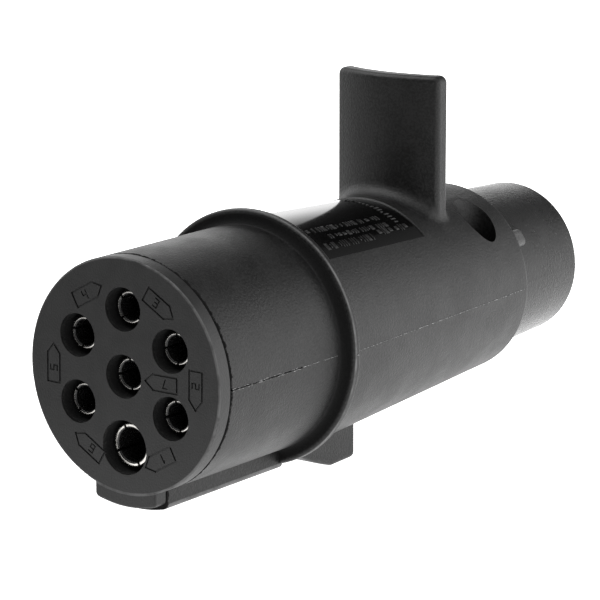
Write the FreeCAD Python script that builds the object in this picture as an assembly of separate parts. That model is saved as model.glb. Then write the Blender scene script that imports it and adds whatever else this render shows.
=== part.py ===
"""Seven-way round trailer plug, built from its separate pieces.

The plug's axis is Y. The mating face lies at y = 0 and looks along -Y, the cable leaves along
+Y, and +Z is up: the pull handle stands above and the key rib hangs below. The origin is the
centre of the mating face. Lengths are millimetres and angles are degrees.
"""
import FreeCAD
import Part
import math
import os

# ---- driving dimensions ------------------------------------------------------------------
# Round nose, which goes into the socket
NOSE_R = 22.4
NOSE_BORE_R = 20.0
FACE_PLATE_T = 3.0          # front disc of the contact carrier
FACE_GAP = 0.35             # open seam between the front disc and the shells
FACE_EDGE_R = 0.4

# Key rib and the matching foot of the front disc
KEY_HALF_W = 7.2
KEY_R = 25.9                # from the axis to the rib's curved bottom
FOOT_R = 24.9               # from the axis to the foot's curved bottom
KEY_TOP_Z = -15.0
KEY_CORNER_R = 1.0

# Flange behind the nose
FLANGE_Y0 = 38.0
FLANGE_Y1 = 40.0
FLANGE_R = 25.2
FLANGE_EDGE_R = 0.7
FLANGE_ROOT_R = 1.1

# Tapered rear body
BODY_R0 = 23.5              # at the flange
BODY_R1 = 19.85             # at the rear end
BODY_Y1 = 107.6
BODY_EDGE_R = 1.0
BODY_WALL = 2.7

# Label panel sunk into the top of the body
PANEL_Y0 = 41.0
PANEL_Y1 = 76.6
PANEL_HALF_ANGLE = 44.0
PANEL_DEPTH = 0.25

# Pull handle: a plate bowed towards the nose
HANDLE_HALF_W = 12.4
HANDLE_FRONT_Y = 82.0       # front face in the middle
HANDLE_BOW = 2.7            # how far the ends lie behind the middle
HANDLE_T = 4.2
HANDLE_BASE_Z = 12.0
HANDLE_TOP_Z = 46.1
HANDLE_CORNER_R = 1.5
HANDLE_EDGE_R = 1.2
HANDLE_ROOT_R = 3.2

# Catch block under the body
CATCH_HALF_W = 7.5
CATCH_RAMP_START = (42.0, -22.6)   # (y, z)
CATCH_RAMP_MID = (49.3, -26.3)
CATCH_TOE = (55.6, -28.45)
CATCH_HEEL = (63.2, -28.2)
CATCH_TOP_Z = -19.0
CATCH_EDGE_R = 1.0
CATCH_HEEL_R = 1.2
CATCH_TOE_R = 2.0

# Rib inside the shells that sits in a groove round the carrier
RIB_Y0 = 18.0
RIB_Y1 = 22.0
RIB_R = 18.5
FIT = 0.1                   # play between moulded pieces, each side

# Web inside the shells that holds the cable jacket
WEB_Y0 = 89.5
WEB_Y1 = 91.5
CABLE_R = 7.0

# Rubber boot
BOOT_R0 = 17.3
BOOT_R1 = 16.2
BOOT_Y1 = 132.9
BOOT_END_R = 1.5
BOOT_GAP = 0.1              # between the shells' end and the boot's shoulder
BOOT_NECK_R = 16.2
BOOT_COLLAR_R = 17.9
BOOT_COLLAR_Y0 = 103.4
BOOT_COLLAR_Y1 = 105.1
BOOT_CAVITY_R = 12.5
BOOT_CAVITY_Y1 = 126.6
BOOT_LUG_ANGLE = 58.0
BOOT_LUG = (3.8, 4.3, 1.5)  # width round the boot, length, height

# Contact carrier behind its front disc
CARRIER_R = 19.8
CARRIER_GROOVE_R = 18.3
CARRIER_Y1 = 26.0
CARRIER_KEY_W = 3.0
CARRIER_KEY_R = 18.5
CARRIER_KEY_Y0 = 6.0
CARRIER_KEY_Y1 = 16.0

# Contacts: six small ones and the ground contact
CONTACT_CIRCLE_R = 12.65
GROUND_DROP = 13.5
CONTACT_MOUTH_Y = 2.2       # front edge of a sleeve, behind the mating face
HOLE_DEPTH = 14.0
COLLAR_Y0 = 15.0
COLLAR_Y1 = 17.0
SLOT_W = 0.55
SLOT_LENGTH = 10.5
SLEEVE_EDGE_R = 0.33        # both edges of a sleeve's mouth
SMALL = {"hole_r": 4.15, "sleeve_r": 3.15, "pin_r": 2.4, "collar_r": 3.9, "wire_r": 2.1,
         "screw_r": 1.75, "screw_inner": 0.9, "screw_outer": 5.1}
GROUND = {"hole_r": 5.2, "sleeve_r": 4.2, "pin_r": 3.2, "collar_r": 4.95, "wire_r": 2.9,
          "screw_r": 2.0, "screw_inner": 1.4, "screw_outer": 6.3}
PIN_DEPTH = 15.0
BARREL_Y1 = 38.0
CENTRE_BARREL_Y1 = 50.0
WIRE_DEPTH = 11.0
TERMINAL_FROM_END = 6.0     # terminal screw's axis, in front of the barrel's rear end
THREAD_CLEARANCE = 0.05
DRIVER_SLOT_W = 0.7
DRIVER_SLOT_DEPTH = 1.0

# name, angle of the contact's place on the circle (None in the middle), angle of its slots,
# and the direction that its terminal screw backs out in
CONTACTS = [
    ("contact_top", 90.0, 48.0, 90.0),
    ("contact_upper_right", 30.0, 3.0, 30.0),
    ("contact_lower_right", -30.0, 10.0, -30.0),
    ("contact_lower_left", -150.0, 55.0, -150.0),
    ("contact_upper_left", 150.0, 77.0, 150.0),
    ("contact_centre", None, 5.0, 90.0),
    ("ground_contact", -90.0, 25.0, 0.0),
]

# Circuit numbers engraved on the face: number, angle of the arrow's place
ARROW_CIRCLE_R = 16.8
ARROWS = [("4", 119.2), ("3", 59.2), ("2", -0.8), ("1", -60.8), ("6", -120.8), ("5", 179.2)]
CENTRE_ARROW = ("7", 8.8)   # number, distance of the arrow from the axis
ARROW_LENGTH = 7.35
ARROW_TIP = 1.8
ARROW_W = 2.95
ARROW_LINE = 0.36
ENGRAVING_DEPTH = 0.25
DIGIT_W = 0.95
DIGIT_H = 1.6
DIGIT_LINE = 0.26

# Strokes of each digit on a cell 2 wide and 4 high
DIGITS = {
    "1": [[(0.4, 3.2), (1, 4), (1, 0)]],
    "2": [[(0, 4), (2, 4), (2, 2), (0, 2), (0, 0), (2, 0)]],
    "3": [[(0, 4), (2, 4), (2, 0), (0, 0)], [(0.4, 2), (2, 2)]],
    "4": [[(0, 4), (0, 2), (2, 2)], [(2, 4), (2, 0)]],
    "5": [[(2, 4), (0, 4), (0, 2), (2, 2), (2, 0), (0, 0)]],
    "6": [[(2, 4), (0, 4), (0, 0), (2, 0), (2, 2), (0, 2)]],
    "7": [[(0, 4), (2, 4), (0.8, 0)]],
}

# Shell screws and washers, and the threaded inserts pressed into the lower shell
SCREW_X = 12.75
SCREW_Y = 97.7
BOSS_R = 5.5
RECESS_R = 4.4
SEAT_Z = 4.5                # floor of the recess
SHELL_HOLE_R = 2.2
WASHER_R = 3.8
WASHER_T = 0.8
HEAD_R = 3.5
HEAD_H = 2.6
HEAD_EDGE_R = 0.9
SHANK_R = 1.95
SCREW_TIP_Z = -6.7
SCREW_HOLE_Z = -8.0         # bottom of the blind hole under an insert
CROSS_ARM = (4.0, 0.9, 1.3)  # length, width, depth of the driver cross
INSERT_R = 2.9
INSERT_TOP_Z = -0.4
INSERT_H = 6.0
INSERT_GROOVE = (0.35, 1.6)  # depth and height of the groove round its middle

# Locating pegs on the parting plane, inside the flange
PEG_X = 22.6
PEG_Y = 39.0
PEG_R = 0.6
PEG_H = 2.0

# Open seam between the shells along the front of the nose
SEAM_Y1 = 25.0
SEAM_DEPTH = 1.0
SEAM_GAP = 0.16

BIG = 200.0
SHELL_Y0 = FACE_PLATE_T + FACE_GAP
ORIGIN = FreeCAD.Vector(0, 0, 0)
Y_AXIS = FreeCAD.Vector(0, 1, 0)
Z_AXIS = FreeCAD.Vector(0, 0, 1)


# ---- helpers -----------------------------------------------------------------------------
def vec(x, y, z):
    return FreeCAD.Vector(x, y, z)


def polar(radius, degrees):
    """Point in the XZ plane, as (x, z)."""
    a = math.radians(degrees)
    return radius * math.cos(a), radius * math.sin(a)


def box(x0, x1, y0, y1, z0, z1):
    return Part.makeBox(x1 - x0, y1 - y0, z1 - z0, vec(x0, y0, z0))


def rod(radius, y0, y1, x=0.0, z=0.0):
    """Round bar along Y."""
    return Part.makeCylinder(radius, y1 - y0, vec(x, y0, z), Y_AXIS)


def post(radius, z0, z1, x, y):
    """Round bar along Z."""
    return Part.makeCylinder(radius, z1 - z0, vec(x, y, z0), Z_AXIS)


def turned(points, sweep=360.0):
    """Solid turned about the Y axis from (radius, y) points."""
    corners = [vec(r, y, 0) for r, y in points]
    face = Part.Face(Part.makePolygon(corners + corners[:1]))
    return face.revolve(ORIGIN, Y_AXIS, sweep)


def rings_at(shape, places, tolerance=0.02):
    """Circular edges about the Y axis whose (radius, y) is in places."""
    found = []
    for edge in shape.Edges:
        curve = edge.Curve
        if not isinstance(curve, Part.Circle):
            continue
        centre = curve.Center
        if math.hypot(centre.x, centre.z) > tolerance:
            continue
        for radius, y in places:
            if abs(curve.Radius - radius) < tolerance and abs(centre.y - y) < tolerance:
                found.append(edge)
                break
    return found


def edges_along(shape, axis, test):
    """Straight edges parallel to axis whose midpoint passes the test."""
    found = []
    for edge in shape.Edges:
        if not isinstance(edge.Curve, Part.Line):
            continue
        direction = edge.Curve.Direction
        middle = edge.CenterOfMass
        if abs(abs(direction.dot(axis)) - 1.0) < 1e-6 and test(middle):
            found.append(edge)
    return found


def body_r(y):
    """Outer radius of the tapered body at y."""
    share = (y - FLANGE_Y1) / (BODY_Y1 - FLANGE_Y1)
    return BODY_R0 + share * (BODY_R1 - BODY_R0)


def contact_kind(name):
    return GROUND if name == "ground_contact" else SMALL


def contact_place(name, angle):
    """Centre of a contact, as (x, z)."""
    if angle is None:
        return 0.0, 0.0
    return polar(GROUND_DROP if name == "ground_contact" else CONTACT_CIRCLE_R, angle)


def barrel_end(name):
    return CENTRE_BARREL_Y1 if name == "contact_centre" else BARREL_Y1


def key_bar(radius, y0, y1):
    """Bar under the nose with a curved bottom, its lower corners rounded."""
    bar = box(-KEY_HALF_W, KEY_HALF_W, y0, y1, -BIG, KEY_TOP_Z).common(rod(radius, y0, y1))
    lower = edges_along(bar, Y_AXIS, lambda p: p.z < KEY_TOP_Z - 1)
    return bar.makeFillet(KEY_CORNER_R, lower)


# ---- shells ------------------------------------------------------------------------------
def housing_outside():
    """Outer form of nose, flange and body, both halves together."""
    form = turned([(0, SHELL_Y0), (NOSE_R, SHELL_Y0), (NOSE_R, FLANGE_Y0), (FLANGE_R, FLANGE_Y0),
                   (FLANGE_R, FLANGE_Y1), (BODY_R0, FLANGE_Y1), (BODY_R1, BODY_Y1), (0, BODY_Y1)])
    root = rings_at(form, [(NOSE_R, FLANGE_Y0)])
    form = form.makeFillet(FLANGE_ROOT_R, root)
    rims = rings_at(form, [(FLANGE_R, FLANGE_Y0), (FLANGE_R, FLANGE_Y1)])
    form = form.makeFillet(FLANGE_EDGE_R, rims)
    form = form.makeFillet(BODY_EDGE_R, rings_at(form, [(BODY_R1, BODY_Y1)]))
    return form.makeChamfer(FACE_GAP, rings_at(form, [(NOSE_R, SHELL_Y0)]))


def housing_inside():
    """Hollow of both halves: nose bore, carrier rib, wire room, cable web and boot groove."""
    groove_y0 = BOOT_COLLAR_Y0 - FIT
    groove_y1 = BOOT_COLLAR_Y1 + FIT
    return turned([
        (0, SHELL_Y0 - 1), (NOSE_BORE_R, SHELL_Y0 - 1),
        (NOSE_BORE_R, RIB_Y0 + FIT), (RIB_R, RIB_Y0 + FIT),
        (RIB_R, RIB_Y1 - FIT), (NOSE_BORE_R, RIB_Y1 - FIT),
        (NOSE_BORE_R, FLANGE_Y0 - 1), (body_r(FLANGE_Y1 + 1) - BODY_WALL, FLANGE_Y1 + 1),
        (body_r(WEB_Y0) - BODY_WALL, WEB_Y0), (CABLE_R + FIT, WEB_Y0),
        (CABLE_R + FIT, WEB_Y1), (body_r(WEB_Y1) - BODY_WALL, WEB_Y1),
        (body_r(groove_y0) - BODY_WALL, groove_y0), (BOOT_COLLAR_R + FIT, groove_y0),
        (BOOT_COLLAR_R + FIT, groove_y1), (BOOT_NECK_R + FIT, groove_y1),
        (BOOT_NECK_R + FIT, BODY_Y1 + 1), (0, BODY_Y1 + 1)])


def half_space(up):
    return box(-BIG, BIG, -BIG, BIG, 0, BIG) if up else box(-BIG, BIG, -BIG, BIG, -BIG, 0)


def bow_arc(y_middle, z):
    """Arc across the handle at height z, its ends lying HANDLE_BOW behind its middle."""
    left = vec(-HANDLE_HALF_W, y_middle + HANDLE_BOW, z)
    right = vec(HANDLE_HALF_W, y_middle + HANDLE_BOW, z)
    return Part.Arc(left, vec(0, y_middle, z), right).toShape(), left, right


def handle():
    front, front_left, front_right = bow_arc(HANDLE_FRONT_Y, HANDLE_BASE_Z)
    rear, rear_left, rear_right = bow_arc(HANDLE_FRONT_Y + HANDLE_T, HANDLE_BASE_Z)
    sides = [Part.makeLine(front_right, rear_right), Part.makeLine(rear_left, front_left)]
    outline = Part.Wire(Part.__sortEdges__([front, rear] + sides))
    plate = Part.Face(outline).extrude(vec(0, 0, HANDLE_TOP_Z - HANDLE_BASE_Z))
    corners = edges_along(plate, Y_AXIS, lambda p: p.z > HANDLE_TOP_Z - 0.1)
    plate = plate.makeFillet(HANDLE_CORNER_R, corners)
    return plate.makeFillet(HANDLE_EDGE_R, handle_rim(plate))


def handle_rim(plate):
    """Edges round the front and rear faces of the handle, apart from those at its foot."""
    rim = []
    for edge in plate.Edges:
        middle = edge.CenterOfMass
        spans_plate = edge.BoundBox.YLength > HANDLE_T - 0.1 and edge.BoundBox.XLength < 0.1
        if middle.z > HANDLE_BASE_Z + 0.1 and not spans_plate:
            rim.append(edge)
    return rim


def blend_root(shape, radius):
    """Fillet where the handle's faces meet the round body."""
    top = body_r(HANDLE_FRONT_Y) + 0.5
    root = []
    for edge in shape.Edges:
        b = edge.BoundBox
        near = b.YMin > HANDLE_FRONT_Y - 1 and b.YMax < HANDLE_FRONT_Y + HANDLE_BOW + HANDLE_T + 1
        inside = max(abs(b.XMin), abs(b.XMax)) < HANDLE_HALF_W + 0.1
        low = b.ZMax < top and b.ZMin > HANDLE_BASE_Z + 1
        if near and inside and low:
            root.append(edge)
    return shape.makeFillet(radius, root)


def panel_recess():
    """Shallow sector cut out of the top of the body, its rear edge sloping at 45 degrees."""
    y0, y1 = PANEL_Y0, PANEL_Y1 - PANEL_DEPTH
    rim = BODY_R0 + 3
    floor = body_r(y1) - PANEL_DEPTH
    band = turned([(body_r(y0) - PANEL_DEPTH, y0), (rim, y0), (rim, y1 + rim - floor),
                   (floor, y1)], 2 * PANEL_HALF_ANGLE)
    band.rotate(ORIGIN, Y_AXIS, -90 - PANEL_HALF_ANGLE)
    return band


def seam_slit(up):
    """Open slit along both sides of the nose where the halves meet."""
    z0, z1 = (0, SEAM_GAP) if up else (-SEAM_GAP, 0)
    inner, outer = NOSE_R - SEAM_DEPTH, NOSE_R + 1
    return [box(inner, outer, SHELL_Y0 - 1, SEAM_Y1, z0, z1),
            box(-outer, -inner, SHELL_Y0 - 1, SEAM_Y1, z0, z1)]


def screw_bosses(outside, up):
    z0, z1 = (0, BIG) if up else (-BIG, 0)
    return [post(BOSS_R, z0, z1, side * SCREW_X, SCREW_Y).common(outside) for side in (1, -1)]


def carrier_key():
    """Short rib in the top of the nose bore that stops the carrier turning."""
    half = CARRIER_KEY_W / 2
    return box(-half, half, CARRIER_KEY_Y0, CARRIER_KEY_Y1, CARRIER_KEY_R, NOSE_R - 1)


def upper_shell():
    outside = blend_root(housing_outside().common(half_space(True)).fuse(handle()), HANDLE_ROOT_R)
    shell = outside.cut(housing_inside()).cut(panel_recess())
    shell = shell.multiFuse(screw_bosses(outside, True) + [carrier_key()])
    tools = seam_slit(True)
    for side in (1, -1):
        x = side * SCREW_X
        tools.append(post(RECESS_R, SEAT_Z, BIG, x, SCREW_Y))
        tools.append(post(SHELL_HOLE_R, -1, SEAT_Z + 1, x, SCREW_Y))
        tools.append(post(PEG_R + FIT, -1, PEG_H + FIT, side * PEG_X, PEG_Y))
    return shell.cut(tools).removeSplitter()


def catch_profile():
    """Side outline of the catch block: curved ramp in front, upright face behind."""
    def at(point):
        return vec(-CATCH_HALF_W, point[0], point[1])
    ramp = Part.Arc(at(CATCH_RAMP_START), at(CATCH_RAMP_MID), at(CATCH_TOE)).toShape()
    heel_top = at((CATCH_HEEL[0], CATCH_TOP_Z))
    start_top = at((CATCH_RAMP_START[0], CATCH_TOP_Z))
    lines = [Part.makeLine(at(CATCH_TOE), at(CATCH_HEEL)), Part.makeLine(at(CATCH_HEEL), heel_top),
             Part.makeLine(heel_top, start_top), Part.makeLine(start_top, at(CATCH_RAMP_START))]
    return Part.Face(Part.Wire(Part.__sortEdges__([ramp] + lines)))


def edges_near(shape, y, z, reach=0.1):
    """Edges centred on the middle plane whose middle lies close to (y, z)."""
    return [e for e in shape.Edges if abs(e.CenterOfMass.x) < reach
            and abs(e.CenterOfMass.y - y) < reach and abs(e.CenterOfMass.z - z) < reach]


def catch_block():
    block = catch_profile().extrude(vec(2 * CATCH_HALF_W, 0, 0))
    block = block.makeFillet(CATCH_HEEL_R, edges_near(block, *CATCH_HEEL))
    block = block.makeFillet(CATCH_TOE_R, edges_near(block, *CATCH_TOE))
    sides = []
    for edge in block.Edges:
        middle = edge.CenterOfMass
        on_side = abs(abs(middle.x) - CATCH_HALF_W) < 0.01
        upright = edge.BoundBox.YLength < 0.01
        if on_side and middle.z < CATCH_RAMP_START[1] and (not upright or middle.y > CATCH_TOE[0]):
            sides.append(edge)
    return block.makeFillet(CATCH_EDGE_R, sides)


def lower_shell():
    outside = housing_outside().common(half_space(False))
    outside = outside.multiFuse([key_bar(KEY_R, SHELL_Y0, FLANGE_Y0 + 1), catch_block()])
    shell = outside.cut(housing_inside())
    pegs = [post(PEG_R, -1, PEG_H, side * PEG_X, PEG_Y) for side in (1, -1)]
    shell = shell.multiFuse(screw_bosses(outside, False) + pegs)
    tools = seam_slit(False)
    for side in (1, -1):
        x = side * SCREW_X
        tools.append(post(SHELL_HOLE_R, SCREW_HOLE_Z, 1, x, SCREW_Y))
        tools.append(post(INSERT_R, INSERT_TOP_Z - INSERT_H, 1, x, SCREW_Y))
    return shell.cut(tools).removeSplitter()


# ---- carrier -----------------------------------------------------------------------------
def arrow_outline(length, width, tip):
    """Corners of a tag-shaped arrow that points along +x, as (x, z)."""
    x0, x1 = -length / 2, length / 2
    half = width / 2
    return [(x0, -half), (x1 - tip, -half), (x1, 0), (x1 - tip, half), (x0, half)]


def stroke(a, b, width, depth):
    """Groove from a to b in the face, with both ends carried on by half its width."""
    dx, dz = b[0] - a[0], b[1] - a[1]
    length = math.hypot(dx, dz)
    bar = box(-width / 2, length + width / 2, -depth, depth, -width / 2, width / 2)
    bar.rotate(ORIGIN, Y_AXIS, -math.degrees(math.atan2(dz, dx)))
    bar.translate(vec(a[0], 0, a[1]))
    return bar


def grooves_along(points, width):
    """Grooves from each point to the next."""
    return [stroke(a, b, width, ENGRAVING_DEPTH) for a, b in zip(points, points[1:])]


def label(number, x, z, heading):
    """Grooves of one arrow and its number, the arrow pointing along heading."""
    corners = arrow_outline(ARROW_LENGTH, ARROW_W, ARROW_TIP)
    grooves = grooves_along(corners + corners[:1], ARROW_LINE)
    for line in DIGITS[number]:
        cell = [((u / 2 - 0.5) * DIGIT_W - ARROW_TIP / 2, (v / 4 - 0.5) * DIGIT_H) for u, v in line]
        grooves += grooves_along(cell, DIGIT_LINE)
    mark = grooves[0].multiFuse(grooves[1:])
    mark.rotate(ORIGIN, Y_AXIS, -heading)
    mark.translate(vec(x, 0, z))
    return mark


def face_labels():
    marks = []
    for number, angle in ARROWS:
        x, z = polar(ARROW_CIRCLE_R, angle)
        marks.append(label(number, x, z, angle - 90))
    marks.append(label(CENTRE_ARROW[0], CENTRE_ARROW[1], 0, 180))
    return marks


def contact_carrier():
    disc = rod(NOSE_R, 0, FACE_PLATE_T).fuse(key_bar(FOOT_R, 0, FACE_PLATE_T)).removeSplitter()
    front = [e for e in disc.Edges if e.BoundBox.YMax < 0.01]
    disc = disc.makeFillet(FACE_EDGE_R, front)
    core = turned([(0, FACE_PLATE_T), (CARRIER_R, FACE_PLATE_T), (CARRIER_R, RIB_Y0),
                   (CARRIER_GROOVE_R, RIB_Y0), (CARRIER_GROOVE_R, RIB_Y1), (CARRIER_R, RIB_Y1),
                   (CARRIER_R, CARRIER_Y1), (0, CARRIER_Y1)])
    half = CARRIER_KEY_W / 2 + FIT
    tools = [box(-half, half, CARRIER_KEY_Y0 - FIT, RIB_Y0, CARRIER_KEY_R - FIT, BIG)]
    for name, angle, _, _ in CONTACTS:
        kind = contact_kind(name)
        x, z = contact_place(name, angle)
        tools.append(rod(kind["hole_r"], -1, HOLE_DEPTH, x, z))
        tools.append(rod(kind["sleeve_r"], 0, CARRIER_Y1 + 1, x, z))
        tools.append(rod(kind["collar_r"], COLLAR_Y0, COLLAR_Y1, x, z))
    return disc.fuse(core).cut(tools + face_labels()).removeSplitter()


# ---- contacts and terminal screws --------------------------------------------------------
def screw_bar(name, angle, heading, radius, start, end):
    """Round bar on a terminal screw's axis, from start to end out of the barrel's middle."""
    x, z = contact_place(name, angle)
    dx, dz = polar(1.0, heading)
    y = barrel_end(name) - TERMINAL_FROM_END
    foot = vec(x + dx * start, y, z + dz * start)
    return Part.makeCylinder(radius, end - start, foot, vec(dx, 0, dz))


def contact(name, angle, slot_angle, heading):
    kind = contact_kind(name)
    x, z = contact_place(name, angle)
    end = barrel_end(name)
    sleeve = rod(kind["sleeve_r"], CONTACT_MOUTH_Y, end)
    sleeve = sleeve.cut(rod(kind["pin_r"], 0, CONTACT_MOUTH_Y + PIN_DEPTH))
    mouth = [(kind["sleeve_r"], CONTACT_MOUTH_Y), (kind["pin_r"], CONTACT_MOUTH_Y)]
    sleeve = sleeve.makeFillet(SLEEVE_EDGE_R, rings_at(sleeve, mouth))
    slots = []
    for k in range(2):
        slit = box(-BIG, BIG, 0, CONTACT_MOUTH_Y + SLOT_LENGTH, -SLOT_W / 2, SLOT_W / 2)
        slit.rotate(ORIGIN, Y_AXIS, -(slot_angle + 90 * k))
        slots.append(slit)
    sleeve = sleeve.cut(slots).fuse(rod(kind["collar_r"], COLLAR_Y0, COLLAR_Y1))
    sleeve = sleeve.cut([rod(kind["wire_r"], end - WIRE_DEPTH, end + 1),
                         rod(kind["pin_r"], 0, CONTACT_MOUTH_Y + PIN_DEPTH)])
    sleeve.translate(vec(x, 0, z))
    hole_r = kind["screw_r"] + THREAD_CLEARANCE
    return sleeve.cut(screw_bar(name, angle, heading, hole_r, 0, 2 * kind["sleeve_r"]))


def terminal_screw(name, angle, heading):
    """Slotted set screw that pinches the wire in the barrel."""
    kind = contact_kind(name)
    outer = kind["screw_outer"]
    screw = screw_bar(name, angle, heading, kind["screw_r"], kind["screw_inner"], outer)
    x, z = contact_place(name, angle)
    dx, dz = polar(outer - DRIVER_SLOT_DEPTH, heading)
    y = barrel_end(name) - TERMINAL_FROM_END
    slot = box(0, 2 * DRIVER_SLOT_DEPTH, -BIG, BIG, -DRIVER_SLOT_W / 2, DRIVER_SLOT_W / 2)
    slot.rotate(ORIGIN, Y_AXIS, -heading)
    slot.translate(vec(x + dx, y, z + dz))
    return screw.cut(slot)


# ---- boot --------------------------------------------------------------------------------
def boot_lug(side):
    """Small rounded lug on the boot that butts against the shells' end."""
    width, length, height = BOOT_LUG
    y0 = BODY_Y1 + BOOT_GAP
    lug = box(-width / 2, width / 2, y0, y0 + length, BOOT_R0 - 1, BOOT_R0 + height)
    top = edges_along(lug, Y_AXIS, lambda p: p.z > BOOT_R0)
    lug = lug.makeFillet(height * 0.8, top)
    back = [e for e in lug.Edges if e.BoundBox.YMin > y0 + length - 0.01
            and e.CenterOfMass.z > BOOT_R0]
    lug = lug.makeFillet(height * 0.7, back)
    lug.rotate(ORIGIN, Y_AXIS, side * BOOT_LUG_ANGLE)
    return lug


def cable_boot():
    shoulder = BODY_Y1 + BOOT_GAP
    skin = turned([(0, BOOT_COLLAR_Y0), (BOOT_COLLAR_R, BOOT_COLLAR_Y0),
                   (BOOT_COLLAR_R, BOOT_COLLAR_Y1), (BOOT_NECK_R, BOOT_COLLAR_Y1),
                   (BOOT_NECK_R, shoulder), (BOOT_R0, shoulder), (BOOT_R1, BOOT_Y1), (0, BOOT_Y1)])
    skin = skin.makeFillet(BOOT_END_R, rings_at(skin, [(BOOT_R1, BOOT_Y1)]))
    skin = skin.multiFuse([boot_lug(1), boot_lug(-1)])
    hollow = [rod(BOOT_CAVITY_R, BOOT_COLLAR_Y0 - 1, BOOT_CAVITY_Y1),
              rod(CABLE_R, BOOT_CAVITY_Y1 - 1, BOOT_Y1 + 1)]
    return skin.cut(hollow).removeSplitter()


# ---- fasteners ---------------------------------------------------------------------------
def shell_screw(side):
    x = side * SCREW_X
    underside = SEAT_Z + WASHER_T
    head = post(HEAD_R, underside, underside + HEAD_H, x, SCREW_Y)
    rim = [e for e in head.Edges if e.BoundBox.ZMin > underside + HEAD_H - 0.01]
    head = head.makeFillet(HEAD_EDGE_R, rim)
    length, width, depth = CROSS_ARM
    top = underside + HEAD_H
    arms = [box(x - length / 2, x + length / 2, SCREW_Y - width / 2, SCREW_Y + width / 2,
                top - depth, top + 1),
            box(x - width / 2, x + width / 2, SCREW_Y - length / 2, SCREW_Y + length / 2,
                top - depth, top + 1)]
    shank = post(SHANK_R, SCREW_TIP_Z, underside, x, SCREW_Y)
    return head.fuse(shank).cut(arms).removeSplitter()


def shell_washer(side):
    x = side * SCREW_X
    ring = post(WASHER_R, SEAT_Z, SEAT_Z + WASHER_T, x, SCREW_Y)
    return ring.cut(post(SHELL_HOLE_R, SEAT_Z - 1, SEAT_Z + 2, x, SCREW_Y))


def threaded_insert(side):
    """Brass bush with a groove round its middle, pressed in from the parting plane."""
    x = side * SCREW_X
    z0, z1 = INSERT_TOP_Z - INSERT_H, INSERT_TOP_Z
    depth, height = INSERT_GROOVE
    middle = (z0 + z1) / 2
    groove = post(INSERT_R + 1, middle - height / 2, middle + height / 2, x, SCREW_Y)
    groove = groove.cut(post(INSERT_R - depth, z0, z1, x, SCREW_Y))
    bore = post(SHANK_R + THREAD_CLEARANCE, z0 - 1, z1 + 1, x, SCREW_Y)
    return post(INSERT_R, z0, z1, x, SCREW_Y).cut([groove, bore])


# ---- assembly ----------------------------------------------------------------------------
def build_nodes():
    nodes = {
        "upper_shell": upper_shell(),
        "lower_shell": lower_shell(),
        "contact_carrier": contact_carrier(),
        "cable_boot": cable_boot(),
    }
    for side, word in ((1, "right"), (-1, "left")):
        nodes["shell_screw_" + word] = shell_screw(side)
        nodes["shell_washer_" + word] = shell_washer(side)
        nodes["threaded_insert_" + word] = threaded_insert(side)
    for name, angle, slot_angle, heading in CONTACTS:
        nodes[name] = contact(name, angle, slot_angle, heading)
        nodes["terminal_screw_" + name.replace("contact_", "").replace("_contact", "")] = (
            terminal_screw(name, angle, heading))
    return nodes


def main():
    os.makedirs("parts", exist_ok=True)
    for name, shape in build_nodes().items():
        shape.exportStep("parts/" + name + ".step")
        print(name, len(shape.Solids), round(shape.Volume, 1), shape.isValid())


main()
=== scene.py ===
"""Looks of the seven-way trailer plug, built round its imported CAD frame."""
import bmesh
import bpy
import math
import random
from mathutils import Matrix, Vector, noise


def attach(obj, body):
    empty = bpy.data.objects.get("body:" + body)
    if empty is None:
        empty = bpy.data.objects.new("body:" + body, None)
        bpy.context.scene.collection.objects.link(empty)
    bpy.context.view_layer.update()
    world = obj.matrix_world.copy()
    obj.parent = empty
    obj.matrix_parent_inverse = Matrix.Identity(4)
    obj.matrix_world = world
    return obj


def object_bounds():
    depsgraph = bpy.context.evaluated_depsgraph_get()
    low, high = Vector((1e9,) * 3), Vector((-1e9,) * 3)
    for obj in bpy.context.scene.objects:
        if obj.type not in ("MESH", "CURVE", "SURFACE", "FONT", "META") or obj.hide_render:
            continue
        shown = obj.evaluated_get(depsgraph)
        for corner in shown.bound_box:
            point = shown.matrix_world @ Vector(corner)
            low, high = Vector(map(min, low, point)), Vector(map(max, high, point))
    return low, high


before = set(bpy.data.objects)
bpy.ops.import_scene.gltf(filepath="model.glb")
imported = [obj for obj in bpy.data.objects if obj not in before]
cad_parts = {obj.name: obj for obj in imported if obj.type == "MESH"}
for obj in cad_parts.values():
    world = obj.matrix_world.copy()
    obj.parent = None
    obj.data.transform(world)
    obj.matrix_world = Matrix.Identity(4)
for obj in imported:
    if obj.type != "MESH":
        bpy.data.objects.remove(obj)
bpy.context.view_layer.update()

MM = 0.001

# Sizes of the CAD model that the looks follow. The plug's axis is Y and its face lies at y = 0.
NOSE_R = 22.4 * MM
NOSE_EDGE_Y = 3.65 * MM     # a little behind the housing's front end
FLANGE_R = 25.2 * MM
FLANGE_Y = (38.0 * MM, 40.0 * MM)
BODY_CONE = ((40.0 * MM, 23.5 * MM), (107.6 * MM, 19.85 * MM))   # (y, radius) at each end
FLANGE_ROOT = 1.6 * MM      # reach of the painted shade in the corner in front of the flange
PANEL_Y = (41.0 * MM, 76.6 * MM)
PANEL_DEPTH = 0.25 * MM
CARRIER_CORE_R = 19.8 * MM
BOOT_R = 17.3 * MM          # where the boot leaves the housing
MOUTH_Y = 2.2 * MM          # front end of the contact sleeves
CONTACT_BORE_R = 2.4 * MM
GROUND_BORE_R = 3.2 * MM
CONTACT_CIRCLE_R = 12.65 * MM
GROUND_DROP = 13.5 * MM
CONTACT_ANGLES = {"contact_top": 90, "contact_upper_right": 30, "contact_lower_right": -30,
                  "contact_lower_left": -150, "contact_upper_left": 150}

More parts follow.
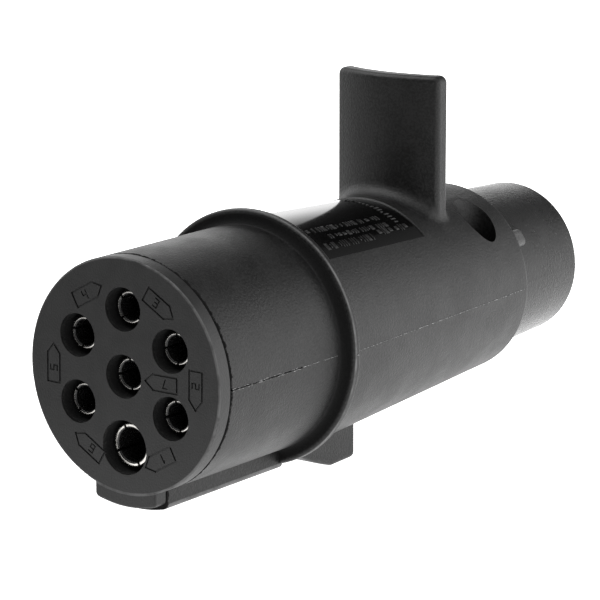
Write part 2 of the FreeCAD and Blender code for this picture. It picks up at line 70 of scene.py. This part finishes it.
# Camera: where it stands as seen from the plug, in degrees, with azimuth counted from -Y towards
# +X; then its lens, the point it aims at and how far off it is
CAMERA_AZIMUTH = 36.16
CAMERA_ELEVATION = 12.60
CAMERA_LENS = 189.7
CAMERA_SHIFT = (-0.0152, -0.0158)
CAMERA_TARGET_Y = 60 * MM
CAMERA_OFFSET = (-1.33 * MM, 5.25 * MM)     # from the target, to the right and up
CAMERA_DISTANCE = 627.7 * MM

# Raised bars on the label panel: angle of a row, its first and last y, and height of a bar in
# degrees. One more row of bars follows an arc round the body.
MARK_HEIGHT = 0.17 * MM
MARK_ROWS = [(65.6, 43.6 * MM, 68.5 * MM, 3.6), (59.4, 48.4 * MM, 68.0 * MM, 3.2),
             (53.4, 44.4 * MM, 61.0 * MM, 4.4), (55.5, 63.5 * MM, 74.0 * MM, 4.6)]
MARK_WIDTHS = (0.32, 0.32, 0.36, 1.1)
MARK_GAPS = (0.45, 0.5, 0.55, 1.2)
MARK_SHARES = (1.0, 1.0, 0.6)       # part of the row's height that a bar takes up
MARK_RINGS = ((-0.06 * MM, 1.0), (0.05 * MM, 1.0), (MARK_HEIGHT, 0.55))    # (height, width share)
ARC_MARKS = 15
ARC_ANGLES = (60.0, 94.0)
ARC_HALF_ANGLE = 0.45
ARC_Y = 71.6 * MM
ARC_LENGTHS = (0.7, 1.2, 1.6)

# Flash along the parting line. The line is open along the front of the nose, so there the flash
# follows both edges of the slit.
SLIT_Y = (3.8 * MM, 25.2 * MM)
SLIT_EDGE_Z = 0.17 * MM
SEAM_END_Y = 106.4 * MM
SEAM_STEP = 0.28 * MM
RIM_STEP = 0.12 * MM
SEAM_GAPS = (1.2 * MM, 0.2 * MM)    # left clear in front of the flange and behind it
FLASH_HEIGHT = 0.08 * MM
FLASH_HALF_W = 0.08 * MM
FLASH_SINK = 0.04 * MM
RAGGED_SCALE = 900
RAGGED_SHARES = (0.5, 0.9, 0.25)    # level, then the shares of noise and of chance
FLASH_SHARES = (0.1, 1.0)           # least and most of the full height
FLASH_END_SHARE = 0.05
DRIFT_SCALE = 1700
SLIT_DRIFT = 2.2                    # sideways drift, in half widths
SEAM_DRIFT = 0.5

# Noise scales of the surfaces, per metre
NYLON_GRAIN, NYLON_PATCHES = 2300, 160
CARRIER_GRAIN, CARRIER_PATCHES = 2800, 210
RUBBER_GRAIN, RUBBER_PATCHES, RUBBER_SPECKS = 1700, 130, 1900
METAL_MARKS, METAL_STAINS = 5400, 900
JOINT_RAGGED, FLASH_SCUFF_GLINTS = 700, 1500

# Colours: pairs are the dark and the pale side of a mottled surface
NYLON_TONES = (0.0006, 0.0075)
CARRIER_TONES = (0.003, 0.007)
RUBBER_TONES = (0.006, 0.012)
# Flash: pale from scuffing and a painted highlight; its palest tone is painted glints
FLASH_TONES_AND_GLINTS = (0.05, 0.5)
# Pale highlights painted on the rounded front edges of the flange's rim and of the carrier's face
FLANGE_EDGE_HIGHLIGHT, CARRIER_EDGE_HIGHLIGHT = 0.10, 0.06
# Painted shade: in the housing's joint and corner, in the carrier's bores, and on the contacts
# inside and behind their mouths
NYLON_PAINTED_SHADE, BORE_PAINTED_SHADE, CONTACT_PAINTED_SHADE = 0.0003, 0.0005, 0.012
# The first is a painted highlight on the boot's lugs, the second pale specks of dust
LUG_HIGHLIGHT, SPECK_TONE = 0.05, 0.04
STEEL = (0.62, 0.62, 0.60, 1)
BRASS = (0.72, 0.52, 0.24, 1)
NICKEL = (0.80, 0.78, 0.74, 1)
STAIN_SHARE = 0.72

# Soft lobes of light round the plug: azimuth and elevation of each in degrees, how narrow it is,
# and its brightness. Azimuth is counted from +Y towards +X.
LOBES = [
    (45, 8, 12.0, 3.40),
    (90, 8, 12.0, 2.21),
    (270, 8, 12.0, 3.10),
    (315, 8, 12.0, 0.64),
    (120, 40, 8.0, 1.30),
    (300, 40, 8.0, 0.27),
    (0, 90, 4.0, 0.14),
    (250, 55, 25.0, 6.4),
    (30, 22, 40.0, 0.6),
    (65, 20, 6.0, 0.60),
    (324, 12, 30.0, 1.75),
    (207, 76, 18.0, 3.6),
]
FLOOR_SIZE = 40.0
FLOOR_DROP = 0.02 * MM      # gap below the plug's lowest point
FLOOR_GREY = 0.68
# The floor's glow grows from one brightness to the other along a direction, between two places
# on it in metres
FLOOR_GLOW = (0.0, 1.5)
GLOW_DIRECTION = (0.6, 0.8, 0)
GLOW_REACH = (-0.12, 0.06)


# ---- camera ------------------------------------------------------------------------------
def aim(azimuth, elevation):
    """Unit vectors to the right, up and back of a camera at an azimuth and elevation."""
    a, e = math.radians(azimuth), math.radians(elevation)
    back = Vector((math.sin(a) * math.cos(e), -math.cos(a) * math.cos(e), math.sin(e)))
    right = Vector((math.cos(a), math.sin(a), 0))
    return right, back.cross(right), back


def make_camera():
    right, up, back = aim(CAMERA_AZIMUTH, CAMERA_ELEVATION)
    data = bpy.data.cameras.new("camera")
    data.sensor_width = 36
    data.lens = CAMERA_LENS
    data.shift_x, data.shift_y = CAMERA_SHIFT
    data.clip_start = 0.01
    data.clip_end = 50
    camera = bpy.data.objects.new("camera", data)
    target = Vector((0, CAMERA_TARGET_Y, 0)) + CAMERA_OFFSET[0] * right + CAMERA_OFFSET[1] * up
    turn = Matrix((right, up, back)).transposed().to_4x4()
    camera.matrix_world = Matrix.Translation(target + CAMERA_DISTANCE * back) @ turn
    bpy.context.scene.collection.objects.link(camera)
    bpy.context.scene.camera = camera


# ---- node helpers ------------------------------------------------------------------------
class Graph:
    """Adds linked nodes to the node tree of a material or a world."""

    def __init__(self, owner):
        owner.use_nodes = True
        self.tree = owner.node_tree

    def add(self, kind, inputs=None, **settings):
        node = self.tree.nodes.new("ShaderNode" + kind)
        for key, value in settings.items():
            setattr(node, key, value)
        for key, value in (inputs or {}).items():
            self.put(node.inputs[key], value)
        return node

    def put(self, socket, value):
        if isinstance(value, bpy.types.NodeSocket):
            self.tree.links.new(value, socket)
        else:
            socket.default_value = value

    def math(self, operation, a, b=0.0):
        return self.add("Math", {0: a, 1: b}, operation=operation).outputs[0]

    def times(self, first, *others):
        product = first
        for other in others:
            product = self.math("MULTIPLY", product, other)
        return product

    def ramp(self, value, low, high, start=0.0, end=1.0):
        """Smooth step of value between low and high."""
        node = self.add("MapRange", {"Value": value, "From Min": low, "From Max": high,
                                     "To Min": start, "To Max": end},
                        interpolation_type="SMOOTHSTEP")
        return node.outputs["Result"]

    def fade(self, value, low, high):
        """Smooth step that falls from 1 to 0 between low and high."""
        return self.ramp(value, low, high, 1.0, 0.0)

    def noise(self, where, scale, detail=2.0, roughness=0.5):
        node = self.add("TexNoise", {"Vector": where, "Scale": scale, "Detail": detail,
                                     "Roughness": roughness})
        return node.outputs["Fac"]

    def blend(self, factor, a, b):
        """Mix of two numbers."""
        return self.add("Mix", {"Factor": factor, "A": a, "B": b}).outputs["Result"]

    def mix(self, factor, a, b):
        """Mix of two colours."""
        node = self.add("Mix", {"Factor": factor}, data_type="RGBA")
        self.put(node.inputs[6], a)
        self.put(node.inputs[7], b)
        return node.outputs[2]


def grey(value):
    return (value, value, value, 1)


def greys(values):
    return [grey(value) for value in values]


def direction(azimuth, elevation):
    """Unit vector; azimuth is counted from +Y towards +X."""
    a, e = math.radians(azimuth), math.radians(elevation)
    return (math.sin(a) * math.cos(e), math.cos(a) * math.cos(e), math.sin(e))


# ---- world and floor ---------------------------------------------------------------------
def make_world():
    world = bpy.data.worlds.new("studio")
    graph = Graph(world)
    where = graph.add("TexCoord").outputs["Generated"]
    total = 0.0
    for azimuth, elevation, sharpness, strength in LOBES:
        axis = direction(azimuth, elevation)
        dot = graph.add("VectorMath", {0: where, 1: axis}, operation="DOT_PRODUCT").outputs["Value"]
        power = graph.times(graph.math("SUBTRACT", dot, 1.0), sharpness)
        total = graph.math("ADD", graph.times(graph.math("EXPONENT", power), strength), total)
    background = graph.tree.nodes["Background"]
    graph.put(background.inputs["Color"], (1, 1, 1, 1))
    graph.put(background.inputs["Strength"], total)
    bpy.context.scene.world = world


def make_floor():
    """White floor under the plug. It shines by itself, more and more towards the back."""
    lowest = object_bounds()[0].z
    bpy.ops.mesh.primitive_plane_add(size=FLOOR_SIZE, location=(0, 0, lowest - FLOOR_DROP))
    floor = bpy.context.object
    floor.name = "floor"
    material = bpy.data.materials.new("floor")
    graph = Graph(material)
    shader = graph.tree.nodes["Principled BSDF"]
    graph.put(shader.inputs["Base Color"], grey(FLOOR_GREY))
    graph.put(shader.inputs["Roughness"], 0.9)
    graph.put(shader.inputs["Specular IOR Level"], 0.0)
    where = graph.add("TexCoord").outputs["Object"]
    along = graph.add("VectorMath", {0: where, 1: GLOW_DIRECTION}, operation="DOT_PRODUCT")
    glow = graph.ramp(along.outputs["Value"], *GLOW_REACH, *FLOOR_GLOW)
    graph.put(shader.inputs["Emission Color"], (1, 1, 1, 1))
    graph.put(shader.inputs["Emission Strength"], glow)
    floor.data.materials.append(material)


# ---- materials ---------------------------------------------------------------------------
def start_material(name):
    """New material: its graph, its shader and the object coordinates."""
    material = bpy.data.materials.new(name)
    graph = Graph(material)
    where = graph.add("TexCoord").outputs["Object"]
    return material, graph, graph.tree.nodes["Principled BSDF"], where


def put_bump(graph, shader, height, distance):
    node = graph.add("Bump", {"Height": height, "Distance": distance, "Strength": 1.0})
    graph.put(shader.inputs["Normal"], node.outputs["Normal"])


def body_radius(graph, y):
    """Radius of the tapered body at y, as a node."""
    (y0, r0), (y1, r1) = BODY_CONE
    return graph.add("MapRange", {"Value": y, "From Min": y0, "From Max": y1, "To Min": r0,
                                  "To Max": r1}, clamp=False).outputs["Result"]


def axial(graph, where):
    """Distance from the plug's axis, place along it, and height."""
    x, y, z = graph.add("SeparateXYZ", {"Vector": where}).outputs
    flat = graph.add("CombineXYZ", {"X": x, "Z": z}).outputs["Vector"]
    radius = graph.add("VectorMath", {0: flat}, operation="LENGTH").outputs["Value"]
    return radius, y, z


def flange_edge_highlight(graph, where):
    """1 on the rounded front edge of the flange's rim, where a pale highlight is painted."""
    radius, y, _ = axial(graph, where)
    return graph.times(graph.ramp(radius, FLANGE_R - 0.22 * MM, FLANGE_R - 0.06 * MM),
                       graph.fade(y, FLANGE_Y[0] + 0.5 * MM, FLANGE_Y[0] + 0.8 * MM))


def flange_root_shade(graph, where):
    """1 in the corner between the nose and the flange, where shade is painted."""
    radius, y, _ = axial(graph, where)
    front = graph.ramp(y, FLANGE_Y[0] - FLANGE_ROOT, FLANGE_Y[0] - 0.3 * FLANGE_ROOT)
    rear = graph.fade(y, FLANGE_Y[0] + 0.1 * MM, FLANGE_Y[0] + 0.4 * MM)
    rim = graph.fade(radius, FLANGE_R - 1.1 * MM, FLANGE_R - 0.6 * MM)
    return graph.times(front, rear, rim)


def joint_shade(graph, where):
    """1 in the ragged line of painted shade where the nose's front edge meets the carrier's rim."""
    radius, y, _ = axial(graph, where)
    ragged = graph.noise(where, JOINT_RAGGED, 3.0, 0.7)
    reach = graph.times(graph.ramp(ragged, 0.35, 0.65, 0.05, 0.6), MM)
    behind = graph.math("SUBTRACT", y, NOSE_EDGE_Y - 0.15 * MM)
    line = graph.ramp(graph.math("SUBTRACT", reach, behind), 0.0, 0.05 * MM)
    return graph.times(line, graph.ramp(radius, NOSE_R - 2 * MM, NOSE_R - 1 * MM))


def panel_mask(graph, where):
    """1 on the glossy floor of the label panel, 0 elsewhere."""
    radius, y, z = axial(graph, where)
    depth = graph.math("SUBTRACT", body_radius(graph, y), radius)
    sunk = graph.ramp(depth, 0.7 * PANEL_DEPTH, 0.85 * PANEL_DEPTH)
    shallow = graph.fade(depth, 1.8 * PANEL_DEPTH, 2.4 * PANEL_DEPTH)
    front = graph.ramp(y, PANEL_Y[0], PANEL_Y[0] + 0.05 * MM)
    rear = graph.fade(y, PANEL_Y[1] - 0.05 * MM, PANEL_Y[1])
    above = graph.ramp(z, 10 * MM, 12 * MM)
    return graph.times(sunk, shallow, above, front, rear)


def housing_material(name, polish):
    """Black moulded nylon with a fine grain, a painted highlight on the flange's front edge and
    painted shade at the nose's front joint and before the flange. Polish makes the floor of the
    label panel glossy.
    """
    material, graph, shader, where = start_material(name)
    grain = graph.noise(where, NYLON_GRAIN, 2.5, 0.6)
    patches = graph.noise(where, NYLON_PATCHES, 4.0, 0.55)
    panel = graph.times(panel_mask(graph, where), polish)
    speckle = graph.math("ADD", graph.times(grain, 0.7), graph.times(patches, 0.3))
    tone = graph.times(graph.ramp(speckle, 0.42, 0.6), graph.math("SUBTRACT", 1.0, panel))
    nylon = graph.mix(tone, *greys(NYLON_TONES))
    # Pale painted highlight along the flange's front edge, broken up by the patches
    edge_highlight = graph.times(flange_edge_highlight(graph, where), graph.ramp(patches, 0.38, 0.6, 0.35, 1.0))
    # Painted shade in the ragged joint at the nose's front edge and in the corner before the
    # flange; these places are also made fully rough
    painted_shade = graph.math("MAXIMUM", joint_shade(graph, where), flange_root_shade(graph, where))
    graph.put(shader.inputs["Base Color"],
              graph.mix(painted_shade, graph.mix(edge_highlight, nylon, grey(FLANGE_EDGE_HIGHLIGHT)), grey(NYLON_PAINTED_SHADE)))
    rough = graph.blend(panel, graph.ramp(patches, 0.3, 0.7, 0.42, 0.50), 0.13)
    graph.put(shader.inputs["Roughness"], graph.blend(painted_shade, rough, 1.0))
    graph.put(shader.inputs["Specular IOR Level"], 0.29)
    height = graph.times(grain, graph.ramp(panel, 0.0, 1.0, 1.0, 0.02))
    put_bump(graph, shader, height, 0.1 * MM)
    return material


def flash_material():
    """Thin moulding flash, paler than the body from scuffing and a painted highlight, with painted
    glints almost white here and there.
    """
    material, graph, shader, where = start_material("moulding_flash")
    scuff_glints = graph.noise(where, FLASH_SCUFF_GLINTS, 3.0, 0.7)
    # Painted highlight and glints along the flash, mixed into its colour by the scuff noise
    graph.put(shader.inputs["Base Color"],
              graph.mix(graph.ramp(scuff_glints, 0.46, 0.62), *greys(FLASH_TONES_AND_GLINTS)))
    graph.put(shader.inputs["Roughness"], graph.ramp(scuff_glints, 0.3, 0.7, 0.6, 0.45))
    put_bump(graph, shader, scuff_glints, 0.02 * MM)
    return material


def carrier_material():
    """Black nylon with a smoother, slightly silky face, a painted highlight on its front edge and
    painted shade in its bores.
    """
    material, graph, shader, where = start_material("carrier")
    grain = graph.noise(where, CARRIER_GRAIN, 2.0)
    patches = graph.noise(where, CARRIER_PATCHES, 4.0, 0.6)
    radius, y, _ = axial(graph, where)
    # Painted shade in the bores: everything inside the core from about a millimetre behind the
    # face; these places are also made rough
    bore_shade = graph.times(graph.ramp(y, 0.3 * MM, 1.2 * MM),
                       graph.fade(radius, CARRIER_CORE_R - 0.5 * MM, CARRIER_CORE_R))
    silky = graph.mix(graph.ramp(patches, 0.35, 0.65), *greys(CARRIER_TONES))
    # Pale painted highlight on the rounded front edge of the carrier's face, broken up by the
    # patches
    rim_highlight = graph.times(graph.ramp(radius, NOSE_R - 0.5 * MM, NOSE_R - 0.3 * MM),
                       graph.fade(radius, NOSE_R + 0.05 * MM, NOSE_R + 0.15 * MM),
                       graph.fade(y, 0.2 * MM, 0.4 * MM))
    edge_highlight = graph.times(rim_highlight, graph.ramp(patches, 0.35, 0.6, 0.3, 1.0))
    silky = graph.mix(edge_highlight, silky, grey(CARRIER_EDGE_HIGHLIGHT))
    graph.put(shader.inputs["Base Color"], graph.mix(bore_shade, silky, grey(BORE_PAINTED_SHADE)))
    matt = graph.ramp(patches, 0.3, 0.7, 0.42, 0.5)
    graph.put(shader.inputs["Roughness"], graph.blend(bore_shade, matt, 0.95))
    graph.put(shader.inputs["Specular IOR Level"], 0.36)
    put_bump(graph, shader, grain, 0.06 * MM)
    return material


def boot_material():
    """Black rubber with a coarse grain, pale specks of dust and a painted highlight on the lugs."""
    material, graph, shader, where = start_material("boot")
    grain = graph.noise(where, RUBBER_GRAIN, 3.0, 0.65)
    patches = graph.noise(where, RUBBER_PATCHES, 4.0, 0.6)
    specks = graph.ramp(graph.noise(where, RUBBER_SPECKS, 2.0), 0.66, 0.74)
    rubber = graph.mix(graph.ramp(patches, 0.35, 0.65), *greys(RUBBER_TONES))
    radius, y, _ = axial(graph, where)
    body_end = BODY_CONE[1][0]
    # Painted highlight on the lugs standing out of the boot where it leaves the housing
    lug_highlight = graph.times(graph.ramp(radius, BOOT_R + 0.2 * MM, BOOT_R + 0.5 * MM),
                      graph.ramp(y, body_end, body_end + 0.2 * MM))
    rubber = graph.mix(lug_highlight, rubber, grey(LUG_HIGHLIGHT))
    graph.put(shader.inputs["Base Color"], graph.mix(specks, rubber, grey(SPECK_TONE)))
    graph.put(shader.inputs["Roughness"], graph.ramp(patches, 0.3, 0.7, 0.24, 0.31))
    graph.put(shader.inputs["Specular IOR Level"], 0.155)
    put_bump(graph, shader, grain, 0.1 * MM)
    return material


def metal_material(name, colour, roughness):
    """Plated or turned metal with fine tool marks and slight staining."""
    material, graph, shader, where = start_material(name)
    marks = graph.noise(where, METAL_MARKS, 3.0, 0.7)
    stains = graph.noise(where, METAL_STAINS, 3.0, 0.6)
    stained = tuple(STAIN_SHARE * c for c in colour[:3]) + (1,)
    graph.put(shader.inputs["Base Color"],
              graph.mix(graph.ramp(stains, 0.4, 0.75), colour, stained))
    graph.put(shader.inputs["Metallic"], 1.0)
    graph.put(shader.inputs["Roughness"], graph.ramp(stains, 0.3, 0.7, roughness, roughness + 0.12))
    put_bump(graph, shader, marks, 0.006 * MM)
    return material, graph, shader, where


def contact_material(name, x, z, bore_r):
    """Nickel plate, bright on the rim of the mouth, with painted shade inside the bore and behind
    the mouth.
    """
    material, graph, shader, where = metal_material(name + "_nickel", NICKEL, 0.2)
    bright = shader.inputs["Base Color"].links[0].from_socket
    offset = graph.add("VectorMath", {0: where, 1: (x, 0, z)}, operation="SUBTRACT").outputs[0]
    radius, y, _ = axial(graph, offset)
    # Painted shade inside the bore and behind the mouth, where the metal is also made less metallic
    inside = graph.fade(radius, bore_r + 0.30 * MM, bore_r + 0.40 * MM)
    behind = graph.ramp(y, MOUTH_Y + 0.4 * MM, MOUTH_Y + 1.2 * MM, 0.0, 0.9)
    contact_shade = graph.math("MAXIMUM", inside, behind)
    graph.put(shader.inputs["Base Color"], graph.mix(contact_shade, bright, grey(CONTACT_PAINTED_SHADE)))
    graph.put(shader.inputs["Metallic"], graph.ramp(contact_shade, 0.0, 1.0, 1.0, 0.3))
    return material


def contact_centre(name):
    """Place (x, z) of a contact's axis."""
    if name == "contact_centre":
        return 0.0, 0.0
    if name == "ground_contact":
        return 0.0, -GROUND_DROP
    a = math.radians(CONTACT_ANGLES[name])
    return CONTACT_CIRCLE_R * math.cos(a), CONTACT_CIRCLE_R * math.sin(a)


def paint():
    """Gives every CAD node its material."""
    steel = metal_material("screw_steel", STEEL, 0.28)[0]
    brass = metal_material("insert_brass", BRASS, 0.25)[0]
    housing = housing_material("housing", 1.0)
    single = {"upper_shell": housing, "lower_shell": housing,
              "contact_carrier": carrier_material(), "cable_boot": boot_material()}
    for name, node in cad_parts.items():
        if name in CONTACT_ANGLES or name in ("contact_centre", "ground_contact"):
            bore_r = GROUND_BORE_R if name == "ground_contact" else CONTACT_BORE_R
            material = contact_material(name, *contact_centre(name), bore_r)
        elif name.startswith("threaded_insert"):
            material = brass
        else:
            material = single.get(name, steel)
        node.data.materials.clear()
        node.data.materials.append(material)


# ---- moulded details ---------------------------------------------------------------------
def add_piece(name, points, faces, material, body):
    """Piece with a mesh of its own that rides on a body."""
    mesh = bpy.data.meshes.new(name)
    mesh.from_pydata(points, [], faces)
    piece = bpy.data.objects.new(name, mesh)
    bpy.context.scene.collection.objects.link(piece)
    build = bmesh.new()
    build.from_mesh(mesh)
    bmesh.ops.recalc_face_normals(build, faces=build.faces)
    build.to_mesh(mesh)
    build.free()
    mesh.materials.append(material)
    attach(piece, body)


def cone_radius(y):
    """Radius of the tapered body at y, as a number."""
    (y0, r0), (y1, r1) = BODY_CONE
    return r0 + (y - y0) / (y1 - y0) * (r1 - r0)


def panel_point(angle, y, height):
    """Point above the panel's floor; the angle is in degrees from +X towards +Z."""
    radius = cone_radius(y) - PANEL_DEPTH + height
    a = math.radians(angle)
    return (radius * math.cos(a), y, radius * math.sin(a))


def add_block(points, faces, corners):
    """Block on the panel from four (angle, y) corners, its top drawn in a little."""
    first = len(points)
    middle = [sum(c[k] for c in corners) / 4 for k in range(2)]
    for height, share in MARK_RINGS:
        for angle, y in corners:
            points.append(panel_point(middle[0] + share * (angle - middle[0]),
                                      middle[1] + share * (y - middle[1]), height))
    faces.append([first, first + 1, first + 2, first + 3])
    faces.append([first + 8, first + 9, first + 10, first + 11])
    for ring in (0, 4):
        for k in range(4):
            after = (k + 1) % 4
            low, high = first + ring, first + ring + 4
            faces.append([low + k, low + after, high + after, high + k])


def add_panel_marks(material):
    """Rows of short raised bars, moulded into the label panel."""
    draw = random.Random(11)
    points, faces = [], []
    for angle, y0, y1, tall in MARK_ROWS:
        y = y0
        while y < y1:
            wide = draw.choice(MARK_WIDTHS) * MM
            half = tall * draw.choice(MARK_SHARES) / 2
            mid = angle + draw.choice((0, 0, 0.5)) * (tall / 2 - half)
            add_block(points, faces, [(mid - half, y), (mid + half, y), (mid + half, y + wide),
                                      (mid - half, y + wide)])
            y += wide + draw.choice(MARK_GAPS) * MM
    for k in range(ARC_MARKS):
        angle = ARC_ANGLES[0] + (ARC_ANGLES[1] - ARC_ANGLES[0]) * k / (ARC_MARKS - 1)
        low, high = angle - ARC_HALF_ANGLE, angle + ARC_HALF_ANGLE
        length = draw.choice(ARC_LENGTHS) * MM
        start = ARC_Y + draw.uniform(-0.15, 0.15) * MM
        add_block(points, faces, [(low, start), (high, start), (high, start + length),
                                  (low, start + length)])
    add_piece("panel_marks", points, faces, material, "housing_top")


def seam_runs():
    """Runs of (radius, y, z) along the parting line: both slit edges, nose, flange rim, body."""
    def stations(y0, y1, radius, z=0.0):
        count = int((y1 - y0) / SEAM_STEP)
        return [(radius(y0 + k * SEAM_STEP), y0 + k * SEAM_STEP, z) for k in range(count)]

    middle = (FLANGE_Y[0] + FLANGE_Y[1]) / 2
    return [
        stations(SLIT_Y[0], SLIT_Y[1], lambda y: NOSE_R, SLIT_EDGE_Z),
        stations(SLIT_Y[0], SLIT_Y[1], lambda y: NOSE_R, -SLIT_EDGE_Z),
        stations(SLIT_Y[1], FLANGE_Y[0] - SEAM_GAPS[0], lambda y: NOSE_R),
        [(FLANGE_R, middle + k * RIM_STEP, 0.0) for k in range(-2, 3)],
        stations(FLANGE_Y[1] + SEAM_GAPS[1], SEAM_END_Y, cone_radius),
    ]


def add_seam(side, material):
    """Thin ragged line of flash on one side, three points wide and closed at the ends of runs."""
    draw = random.Random(5)
    level, noise_share, chance_share = RAGGED_SHARES
    least, most = FLASH_SHARES
    points, faces = [], []
    for run in seam_runs():
        first = len(points)
        count = len(run)
        for k, (radius, y, z) in enumerate(run):
            row = RAGGED_SCALE * z
            bumps = noise.noise((y * RAGGED_SCALE, 3.1 + row, 0.4))
            ragged = level + noise_share * bumps + chance_share * draw.random()
            share = max(least, min(most, ragged)) if 0 < k < count - 1 else FLASH_END_SHARE
            reach = (SLIT_DRIFT if z else SEAM_DRIFT) * FLASH_HALF_W
            drift = reach * noise.noise((y * DRIFT_SCALE, 8.0 + row, 1.0))
            half = FLASH_HALF_W * (0.5 + 0.5 * share)
            for across, out in ((-half, -FLASH_SINK), (0, share * FLASH_HEIGHT),
                                (half, -FLASH_SINK)):
                points.append((side * (radius + out), y, z + drift + across))
        for k in range(count - 1):
            a, b = first + 3 * k, first + 3 * (k + 1)
            for i, j in ((0, 1), (1, 2), (2, 0)):
                faces.append([a + i, a + j, b + j, b + i])
        last = first + 3 * (count - 1)
        faces.append([first, first + 1, first + 2])
        faces.append([last, last + 2, last + 1])
    add_piece("seam_flash_" + ("right" if side > 0 else "left"), points, faces, material,
              "housing_base")


paint()
add_panel_marks(housing_material("moulded_marks", 0.0))
flash = flash_material()
for side in (1, -1):
    add_seam(side, flash)
make_camera()
make_world()
make_floor()
bpy.context.scene.view_settings.view_transform = "Standard"
